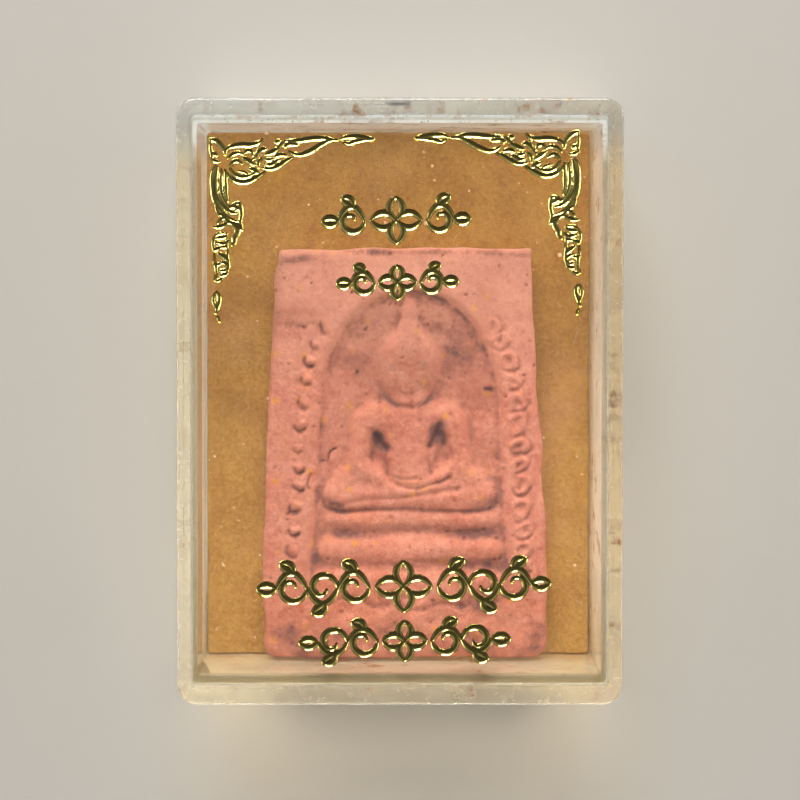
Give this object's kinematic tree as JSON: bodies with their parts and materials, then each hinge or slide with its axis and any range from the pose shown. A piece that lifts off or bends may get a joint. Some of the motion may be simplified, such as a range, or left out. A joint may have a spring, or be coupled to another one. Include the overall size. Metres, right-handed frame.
{
  "type": "buddha amulet tablet in a clear display box",
  "caption": "Pressed clay votive tablet with a seated figure under an arch, lying on a card in a small clear two-part plastic box whose lid carries raised gold foil ornament",
  "frame": {"origin": "centre of the box's back, on the surface it lies on", "axes": "+X across the tablet to the viewer's right, +Y along the box towards the figure's head, +Z out of the lid's face"},
  "size_m": [0.0376, 0.0512, 0.0133],
  "materials": {
    "clear_plastic_tray": "clear moulded polystyrene, aged slightly yellow, scuffed",
    "clear_plastic_lid": "clear moulded polystyrene, glossy, finely scratched",
    "tan_card": "matte tan card with pale dust",
    "fired_clay": "matte pressed clay, salmon pink, worn smooth on its high places",
    "gold_foil": "glossy raised gold foil"
  },
  "bodies": {
    "root": {"tray": "clear_plastic_tray", "lid": "clear_plastic_lid", "backing_card": "tan_card", "clay_tablet": "fired_clay", "corner_ornament_left": "gold_foil", "corner_ornament_right": "gold_foil", "foil_band_crown": "gold_foil", "foil_band_brow": "gold_foil", "foil_band_throne": "gold_foil", "foil_band_foot": "gold_foil"}
  },
  "joints": []
}
